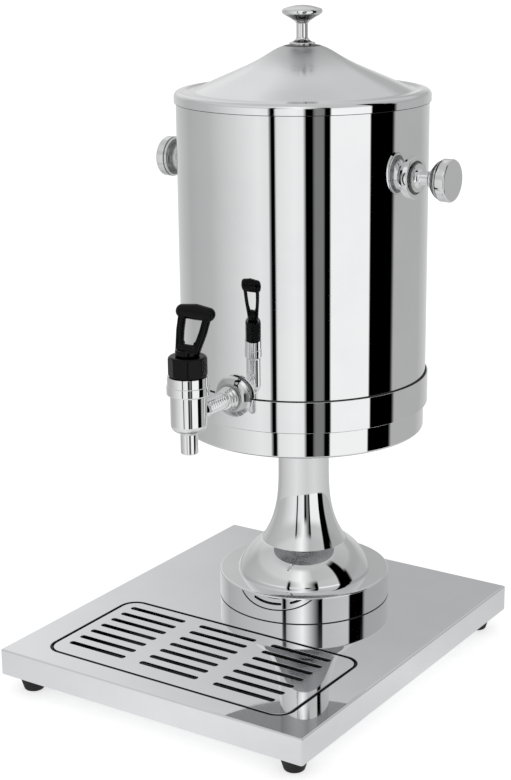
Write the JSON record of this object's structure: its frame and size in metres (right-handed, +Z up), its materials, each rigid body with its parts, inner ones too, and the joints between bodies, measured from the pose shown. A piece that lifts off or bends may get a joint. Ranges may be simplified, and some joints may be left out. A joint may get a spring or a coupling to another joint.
{
  "type": "coffee dispenser",
  "caption": "Polished steel coffee dispenser: an insulated tank with a lever tap and a conical lid, on a pedestal over a base plate with a drip tray under a slotted grille.",
  "frame": {"origin": "middle of the base plate's outline, on the table under the feet", "axes": "+Z up, -Y to the front where the tap is, +X to the right as the guest sees it"},
  "size_m": [0.3, 0.3513, 0.5592],
  "materials": {
    "polished_steel": "stainless steel, mirror polished",
    "plated_brass": "chrome plated, mirror polished",
    "plain_steel": "plain stainless steel",
    "foot_rubber": "matt",
    "silicone": "soft, food grade",
    "foam": "foamed insulation",
    "black_plastic": "moulded, glossy"
  },
  "bodies": {
    "stand": {"base_plate": "polished_steel", "base_stiffener": "plain_steel", "foot_front_left": "foot_rubber", "foot_front_right": "foot_rubber", "foot_rear_left": "foot_rubber", "foot_rear_right": "foot_rubber", "foot_screws": "plain_steel", "foot_nuts": "plain_steel", "tray_frame": "plain_steel", "plinth": "polished_steel", "dome": "polished_steel", "stem": "polished_steel", "tie_rod": "plain_steel", "rod_washers": "plain_steel", "rod_nuts": "plain_steel", "support_cup": "polished_steel", "cup_stiffener": "plain_steel"},
    "tray": {"drip_tray": "polished_steel"},
    "grille": {"drip_grille": "polished_steel"},
    "tank": {"tank_shell": "polished_steel", "tank_belt": "polished_steel", "tank_foot": "plain_steel", "insulation": "foam", "inner_vessel": "polished_steel", "side_knob_left": "polished_steel", "side_knob_right": "polished_steel", "knob_rosette_left": "polished_steel", "knob_rosette_right": "polished_steel", "knob_studs": "plain_steel", "knob_washers": "plain_steel", "knob_nuts": "plain_steel", "tap_body": "plated_brass", "tap_shank": "plated_brass", "tap_lock_nut": "plated_brass", "tap_escutcheon": "polished_steel", "outer_gasket": "silicone", "inner_gasket": "silicone", "inner_nut": "plated_brass", "tap_bonnet": "black_plastic", "bonnet_seal": "silicone", "valve_spring": "plain_steel"},
    "valve": {"valve_stem": "plain_steel", "seat_plug": "silicone", "lever_pin": "plain_steel"},
    "lever": {"tap_lever": "black_plastic"},
    "lid": {"lid_shell": "polished_steel", "lid_liner": "polished_steel", "lid_gasket": "silicone", "lid_knob": "polished_steel", "lid_screw": "plain_steel", "lid_washer": "plain_steel"}
  },
  "joints": [
    {"name": "tank_lift", "type": "slide", "parent": "stand", "child": "tank", "axis": [0, 0, 1], "range_m": [0, 0.12]},
    {"name": "lid_lift", "type": "slide", "parent": "tank", "child": "lid", "axis": [0, 0, 1], "range_m": [0, 0.12]},
    {"name": "tray_lift", "type": "slide", "parent": "stand", "child": "tray", "axis": [0, 0, 1], "range_m": [0, 0.06]},
    {"name": "grille_lift", "type": "slide", "parent": "tray", "child": "grille", "axis": [0, 0, 1], "range_m": [0, 0.06]},
    {"name": "valve_lift", "type": "slide", "parent": "tank", "child": "valve", "axis": [0, 0, 1], "range_m": [0, 0.0041], "deforming": ["valve_spring"]},
    {"name": "lever_tilt", "type": "hinge", "parent": "valve", "child": "lever", "pos_m": [0, -0.1037, 0.3018], "axis": [1, 0, 0], "range_deg": [0, 25], "stiffness_Nm_per_rad": 0.13, "springref_deg": -24.06}
  ],
  "couplings": [
    {"joint": "lever_tilt", "follows": "valve_lift", "rad_per_m": 106.38}
  ]
}
